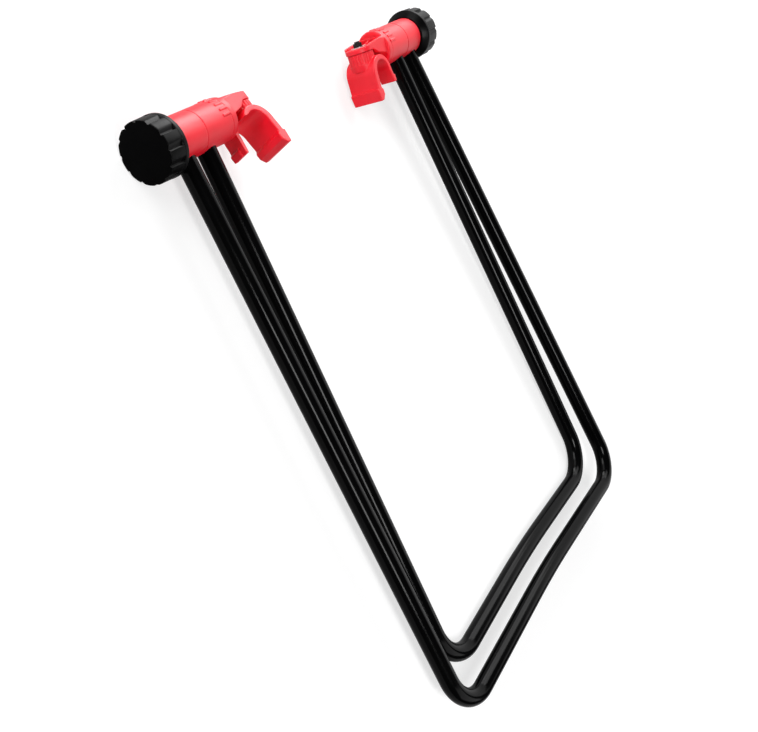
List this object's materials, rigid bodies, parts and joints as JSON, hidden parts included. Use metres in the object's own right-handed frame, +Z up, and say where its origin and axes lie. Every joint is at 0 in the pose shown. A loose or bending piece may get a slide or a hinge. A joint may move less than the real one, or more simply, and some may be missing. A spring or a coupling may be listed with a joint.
{
  "type": "bicycle repair stand",
  "caption": "Folding floor stand of two nested bent-tube U frames hinged at two barrels, with clamping knobs and swivelling plastic hooks that hold a bicycle.",
  "frame": {"origin": "on the floor under the middle of the stand's overall box, as it lies nearly folded", "axes": "+X along the barrels from the left knob to the right one, +Y from the rails towards the barrels, +Z up"},
  "size_m": [0.432, 0.5398, 0.0484],
  "materials": {
    "black_tube": "gloss black paint on bent steel tube",
    "red_plastic": "smooth moulded plastic, slightly glossy",
    "black_plastic": "satin moulded plastic",
    "black_steel": "blackened steel",
    "zinc_steel": "bright zinc plate"
  },
  "bodies": {
    "inner_frame": {"inner_frame": "black_tube", "inner_hub_left": "red_plastic", "inner_tube_screw_left": "black_steel", "inner_hub_right": "red_plastic", "inner_tube_screw_right": "black_steel"},
    "outer_frame": {"outer_frame": "black_tube", "outer_hub_left": "red_plastic", "outer_tube_screw_left": "black_steel", "clamp_washer_left": "zinc_steel", "outer_hub_right": "red_plastic", "outer_tube_screw_right": "black_steel", "clamp_washer_right": "zinc_steel"},
    "arm_left": {"hook_arm_left": "red_plastic", "stud_nut_left": "zinc_steel", "hook_washer_left": "zinc_steel"},
    "knob_left": {"knob_left": "black_plastic", "knob_stud_left": "zinc_steel"},
    "hook_left": {"hook_left": "red_plastic", "hook_bolt_left": "black_steel", "hook_nut_left": "black_steel"},
    "arm_right": {"hook_arm_right": "red_plastic", "stud_nut_right": "zinc_steel", "hook_washer_right": "zinc_steel"},
    "knob_right": {"knob_right": "black_plastic", "knob_stud_right": "zinc_steel"},
    "hook_right": {"hook_right": "red_plastic", "hook_bolt_right": "black_steel", "hook_nut_right": "black_steel"}
  },
  "joints": [
    {"name": "frame_fold", "type": "hinge", "parent": "inner_frame", "child": "outer_frame", "pos_m": [0, 0.24597, 0.0239], "axis": [-1, 0, 0], "range_deg": [-1.5, 88]},
    {"name": "arm_left_turn", "type": "hinge", "parent": "inner_frame", "child": "arm_left", "pos_m": [-0.1308, 0.24597, 0.0239], "axis": [1, 0, 0], "continuous": true},
    {"name": "knob_left_turn", "type": "hinge", "parent": "arm_left", "child": "knob_left", "pos_m": [-0.2, 0.24597, 0.0239], "axis": [1, 0, 0], "continuous": true},
    {"name": "hook_left_swivel", "type": "hinge", "parent": "arm_left", "child": "hook_left", "pos_m": [-0.1, 0.24597, 0.0239], "axis": [0, 0.9744, -0.225], "range_deg": [-90, 15]},
    {"name": "arm_right_turn", "type": "hinge", "parent": "inner_frame", "child": "arm_right", "pos_m": [0.1308, 0.24597, 0.0239], "axis": [1, 0, 0], "continuous": true},
    {"name": "knob_right_turn", "type": "hinge", "parent": "arm_right", "child": "knob_right", "pos_m": [0.2, 0.24597, 0.0239], "axis": [1, 0, 0], "continuous": true},
    {"name": "hook_right_swivel", "type": "hinge", "parent": "arm_right", "child": "hook_right", "pos_m": [0.1, 0.24597, 0.0239], "axis": [0, 0.9848, 0.1736], "range_deg": [-90, 15]}
  ]
}
